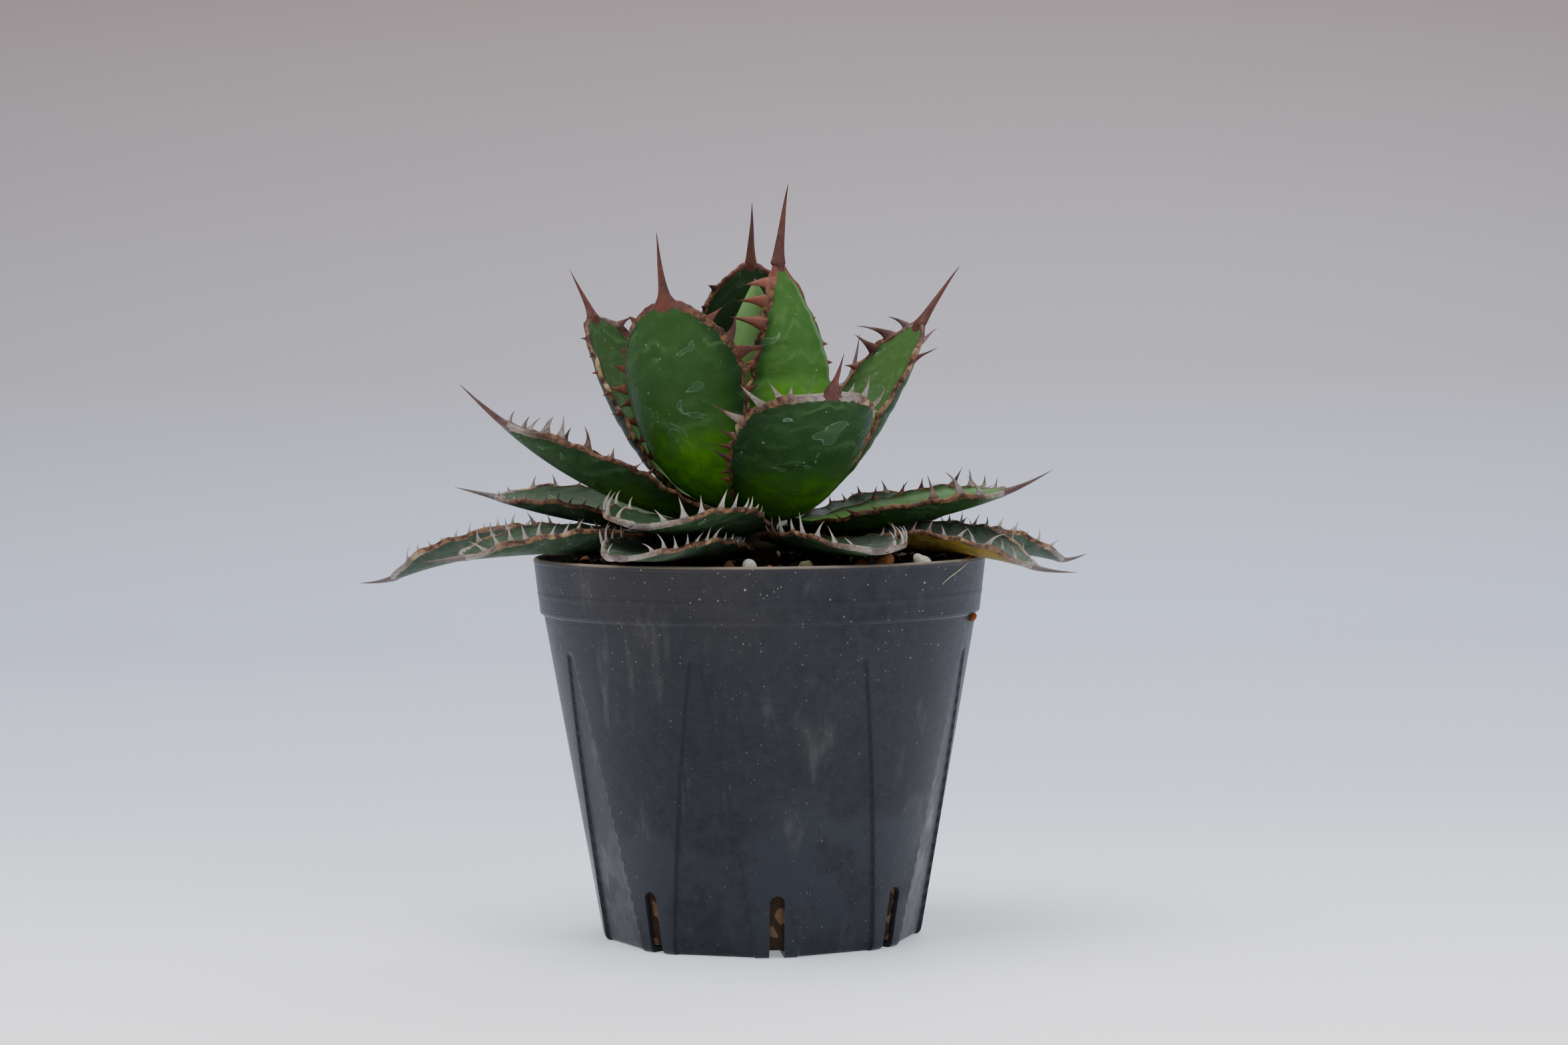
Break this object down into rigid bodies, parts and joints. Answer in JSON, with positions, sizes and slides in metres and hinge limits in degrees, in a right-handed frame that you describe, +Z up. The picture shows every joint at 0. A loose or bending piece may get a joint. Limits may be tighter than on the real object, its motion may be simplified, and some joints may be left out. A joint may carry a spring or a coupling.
{
  "type": "potted agave",
  "caption": "Toothed agave rosette growing in soil in a round plastic nursery pot with drainage slits round its base.",
  "frame": {"origin": "centre of the pot's flat underside, on the surface that it stands on", "axes": "+Z up along the pot's axis, -Y towards the front, +X to the right"},
  "size_m": [0.173, 0.1334, 0.1744],
  "materials": {
    "pot": "matte charcoal, dusty",
    "soil": "crumbly brown soil",
    "pumice": "rough off-white stone",
    "clay": "rough orange-brown",
    "bark": "rough bark",
    "stem": "fibrous, hidden",
    "bud": "waxy light green",
    "young_leaf": "waxy mid green",
    "old_leaf": "waxy dark grey-green",
    "young_horn": "horny, reddish brown",
    "old_horn": "horny, weathered grey"
  },
  "bodies": {
    "root": {"pot": "pot", "soil": "soil", "pumice_chip_front": "pumice", "bark_chip_front": "bark", "clay_chip_front": "clay", "clay_chip_right": "clay", "pumice_chip_right": "pumice", "stem": "stem", "bud": "bud", "leaf_01_blade": "young_leaf", "leaf_01_horn": "young_horn", "leaf_02_blade": "young_leaf", "leaf_02_horn": "young_horn", "leaf_03_blade": "young_leaf", "leaf_03_horn": "young_horn", "leaf_04_blade": "young_leaf", "leaf_04_horn": "young_horn", "leaf_05_blade": "young_leaf", "leaf_05_horn": "young_horn", "leaf_06_blade": "young_leaf", "leaf_06_horn": "young_horn", "leaf_07_blade": "young_leaf", "leaf_07_horn": "young_horn", "leaf_08_blade": "old_leaf", "leaf_08_horn": "old_horn", "leaf_09_blade": "old_leaf", "leaf_09_horn": "old_horn", "leaf_10_blade": "old_leaf", "leaf_10_horn": "old_horn", "leaf_11_blade": "old_leaf", "leaf_11_horn": "old_horn", "leaf_12_blade": "old_leaf", "leaf_12_horn": "old_horn", "leaf_13_blade": "old_leaf", "leaf_13_horn": "old_horn", "leaf_14_blade": "old_leaf", "leaf_14_horn": "old_horn", "leaf_15_blade": "old_leaf", "leaf_15_horn": "old_horn", "leaf_16_blade": "old_leaf", "leaf_16_horn": "old_horn", "leaf_17_blade": "old_leaf", "leaf_17_horn": "old_horn", "leaf_18_blade": "old_leaf", "leaf_18_horn": "old_horn", "leaf_19_blade": "old_leaf", "leaf_19_horn": "old_horn", "leaf_20_blade": "old_leaf", "leaf_20_horn": "old_horn", "leaf_21_blade": "old_leaf", "leaf_21_horn": "old_horn"}
  },
  "joints": []
}
